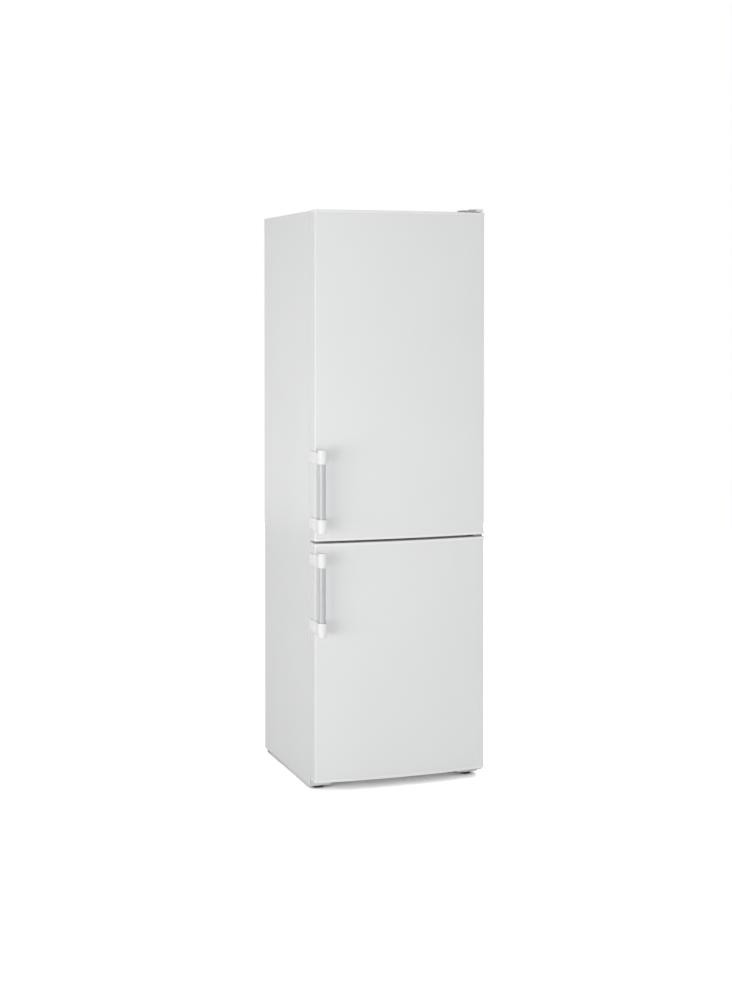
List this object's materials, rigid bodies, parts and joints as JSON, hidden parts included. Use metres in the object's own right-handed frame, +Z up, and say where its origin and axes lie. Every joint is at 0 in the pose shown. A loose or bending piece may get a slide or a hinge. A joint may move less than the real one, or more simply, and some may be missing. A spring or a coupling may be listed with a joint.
{
  "type": "fridge freezer",
  "caption": "Tall white free-standing fridge freezer with a fridge door over a freezer door, bowed fronts, upright pull handles, shelves, door racks and drawers.",
  "frame": {"origin": "on the floor, at the middle of the plan of the whole object", "axes": "+Z up, -Y the side that the doors face, +X to the right seen from the front"},
  "size_m": [0.608, 0.69, 1.926],
  "materials": {
    "white_steel": "satin",
    "galvanised_steel": "satin",
    "liner_plastic": "gloss",
    "white_plastic": "satin",
    "foam": "matte",
    "seal_rubber": "matte",
    "black_rubber": "matte",
    "black_enamel": "gloss",
    "dark_steel": "satin",
    "zinc_steel": "polished",
    "handle_aluminium": "satin",
    "copper": "satin",
    "shelf_glass": "polished",
    "clear_plastic": "gloss",
    "black_plastic": "matte",
    "grey_plastic": "satin"
  },
  "bodies": {
    "cabinet": {"outer_shell": "white_steel", "rear_panel": "galvanised_steel", "base_tray": "galvanised_steel", "fridge_liner": "liner_plastic", "freezer_liner": "liner_plastic", "insulation_foam": "foam", "front_base_rail": "white_steel", "compressor": "black_enamel", "compressor_feet": "black_rubber", "evaporation_tray": "black_plastic", "condenser_coil": "black_enamel", "condenser_spacers": "black_plastic", "refrigerant_pipes": "copper", "filter_drier": "copper", "mains_gland": "black_plastic", "middle_hinge_bracket": "dark_steel", "bottom_hinge_bracket": "dark_steel", "top_hinge_bracket": "dark_steel", "top_hinge_cover": "white_plastic", "hinge_screws": "zinc_steel", "control_panel": "white_plastic", "interior_light": "clear_plastic", "glass_shelves": "shelf_glass", "shelf_trims": "white_plastic", "crisper_cover": "shelf_glass", "freezer_shelves": "shelf_glass"},
    "fridge_door": {"fridge_door_skin": "white_steel", "fridge_door_foam": "foam", "fridge_door_end_caps": "white_plastic", "fridge_door_liner": "liner_plastic", "fridge_door_gasket": "seal_rubber", "fridge_door_handle_bases": "white_plastic"},
    "fridge_door_handle": {"fridge_door_handle_bar": "handle_aluminium", "fridge_door_handle_brackets": "white_plastic"},
    "fridge_door_plates": {"fridge_door_pressure_plates": "white_plastic"},
    "freezer_door": {"freezer_door_skin": "white_steel", "freezer_door_foam": "foam", "freezer_door_end_caps": "white_plastic", "freezer_door_liner": "liner_plastic", "freezer_door_gasket": "seal_rubber", "freezer_door_handle_bases": "white_plastic"},
    "freezer_door_handle": {"freezer_door_handle_bar": "handle_aluminium", "freezer_door_handle_brackets": "white_plastic"},
    "freezer_door_plates": {"freezer_door_pressure_plates": "white_plastic"},
    "crisper_left": {"crisper_left": "clear_plastic"},
    "crisper_right": {"crisper_right": "clear_plastic"},
    "freezer_drawer_bottom": {"freezer_drawer_bottom": "clear_plastic"},
    "freezer_drawer_middle": {"freezer_drawer_middle": "clear_plastic"},
    "freezer_drawer_top": {"freezer_drawer_top": "clear_plastic"},
    "door_rack_bottle": {"door_rack_bottle": "clear_plastic"},
    "door_rack_middle": {"door_rack_middle": "clear_plastic"},
    "door_rack_upper": {"door_rack_upper": "clear_plastic"},
    "button_power": {"button_power": "grey_plastic"},
    "button_colder": {"button_colder": "grey_plastic"},
    "button_fast_cool": {"button_fast_cool": "grey_plastic"},
    "foot_left": {"foot_left": "black_plastic"},
    "roller_left": {"roller_left": "black_plastic"},
    "foot_right": {"foot_right": "black_plastic"},
    "roller_right": {"roller_right": "black_plastic"}
  },
  "joints": [
    {"name": "fridge_door_hinge", "type": "hinge", "parent": "cabinet", "child": "fridge_door", "pos_m": [0.286, -0.263, 1.3707], "axis": [0, 0, 1], "range_deg": [0, 115]},
    {"name": "fridge_door_handle_pull", "type": "hinge", "parent": "fridge_door", "child": "fridge_door_handle", "pos_m": [-0.2965, -0.2965, 0.995], "axis": [0, 0, -1], "range_deg": [0, 15], "stiffness_Nm_per_rad": 4},
    {"name": "fridge_door_plates_push", "type": "slide", "parent": "fridge_door", "child": "fridge_door_plates", "axis": [0, 1, 0], "range_m": [0, 0.0037]},
    {"name": "freezer_door_hinge", "type": "hinge", "parent": "cabinet", "child": "freezer_door", "pos_m": [0.286, -0.263, 0.4265], "axis": [0, 0, 1], "range_deg": [0, 115]},
    {"name": "freezer_door_handle_pull", "type": "hinge", "parent": "freezer_door", "child": "freezer_door_handle", "pos_m": [-0.2965, -0.2965, 0.658], "axis": [0, 0, -1], "range_deg": [0, 15], "stiffness_Nm_per_rad": 4},
    {"name": "freezer_door_plates_push", "type": "slide", "parent": "freezer_door", "child": "freezer_door_plates", "axis": [0, 1, 0], "range_m": [0, 0.0037]},
    {"name": "crisper_left_slide", "type": "slide", "parent": "cabinet", "child": "crisper_left", "axis": [0, -1, 0], "range_m": [0, 0.201]},
    {"name": "crisper_right_slide", "type": "slide", "parent": "cabinet", "child": "crisper_right", "axis": [0, -1, 0], "range_m": [0, 0.201]},
    {"name": "freezer_drawer_bottom_slide", "type": "slide", "parent": "cabinet", "child": "freezer_drawer_bottom", "axis": [0, -1, 0], "range_m": [0, 0.161]},
    {"name": "freezer_drawer_middle_slide", "type": "slide", "parent": "cabinet", "child": "freezer_drawer_middle", "axis": [0, -1, 0], "range_m": [0, 0.161]},
    {"name": "freezer_drawer_top_slide", "type": "slide", "parent": "cabinet", "child": "freezer_drawer_top", "axis": [0, -1, 0], "range_m": [0, 0.161]},
    {"name": "door_rack_bottle_lift", "type": "slide", "parent": "fridge_door", "child": "door_rack_bottle", "axis": [0, 0, 1], "range_m": [0, 0.03]},
    {"name": "door_rack_middle_lift", "type": "slide", "parent": "fridge_door", "child": "door_rack_middle", "axis": [0, 0, 1], "range_m": [0, 0.03]},
    {"name": "door_rack_upper_lift", "type": "slide", "parent": "fridge_door", "child": "door_rack_upper", "axis": [0, 0, 1], "range_m": [0, 0.03]},
    {"name": "button_power_press", "type": "slide", "parent": "cabinet", "child": "button_power", "axis": [0, 1, 0], "range_m": [0, 0.0012], "stiffness_N_per_m": 800},
    {"name": "button_colder_press", "type": "slide", "parent": "cabinet", "child": "button_colder", "axis": [0, 1, 0], "range_m": [0, 0.0012], "stiffness_N_per_m": 800},
    {"name": "button_fast_cool_press", "type": "slide", "parent": "cabinet", "child": "button_fast_cool", "axis": [0, 1, 0], "range_m": [0, 0.0012], "stiffness_N_per_m": 800},
    {"name": "foot_left_adjust", "type": "slide", "parent": "cabinet", "child": "foot_left", "axis": [0, 0, -1], "range_m": [0, 0.015]},
    {"name": "roller_left_spin", "type": "hinge", "parent": "cabinet", "child": "roller_left", "pos_m": [-0.288, 0.291, 0.012], "axis": [1, 0, 0], "continuous": true},
    {"name": "foot_right_adjust", "type": "slide", "parent": "cabinet", "child": "foot_right", "axis": [0, 0, -1], "range_m": [0, 0.015]},
    {"name": "roller_right_spin", "type": "hinge", "parent": "cabinet", "child": "roller_right", "pos_m": [0.288, 0.291, 0.012], "axis": [1, 0, 0], "continuous": true}
  ],
  "couplings": [
    {"joint": "fridge_door_plates_push", "follows": "fridge_door_handle_pull", "m_per_rad": 0.014},
    {"joint": "freezer_door_plates_push", "follows": "freezer_door_handle_pull", "m_per_rad": 0.014},
    {"joint": "crisper_left_slide", "follows": "fridge_door_hinge", "m_per_rad": 0.1},
    {"joint": "crisper_right_slide", "follows": "fridge_door_hinge", "m_per_rad": 0.1},
    {"joint": "freezer_drawer_bottom_slide", "follows": "freezer_door_hinge", "m_per_rad": 0.08},
    {"joint": "freezer_drawer_middle_slide", "follows": "freezer_door_hinge", "m_per_rad": 0.08},
    {"joint": "freezer_drawer_top_slide", "follows": "freezer_door_hinge", "m_per_rad": 0.08}
  ]
}
